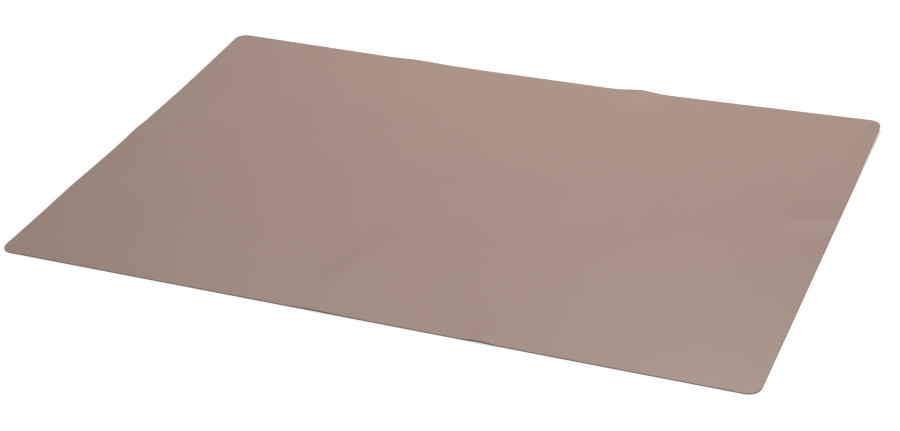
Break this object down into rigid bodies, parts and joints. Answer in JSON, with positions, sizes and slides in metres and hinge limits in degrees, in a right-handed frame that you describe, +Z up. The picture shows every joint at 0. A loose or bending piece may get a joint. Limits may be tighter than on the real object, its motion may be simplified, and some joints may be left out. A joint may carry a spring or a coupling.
{
  "type": "silicone baking mat",
  "caption": "Thin rectangular baking mat with rounded corners: glass-fibre cloth sealed between silicone coats, lying flat with softly curled back corners and shallow edge ripples.",
  "frame": {"origin": "on the surface that the mat lies on, under the middle of the mat", "axes": "+X along the 600 mm length, +Y across the 400 mm width towards the curled corners, +Z up out of the baking face"},
  "size_m": [0.6, 0.4, 0.0049],
  "materials": {
    "silicone": "satin matt taupe silicone with a very fine grain",
    "glass_cloth": "plain woven glass-fibre cloth, off-white"
  },
  "bodies": {
    "root": {"top_silicone_coat": "silicone", "glass_fibre_cloth": "glass_cloth", "bottom_silicone_coat": "silicone"}
  },
  "joints": []
}
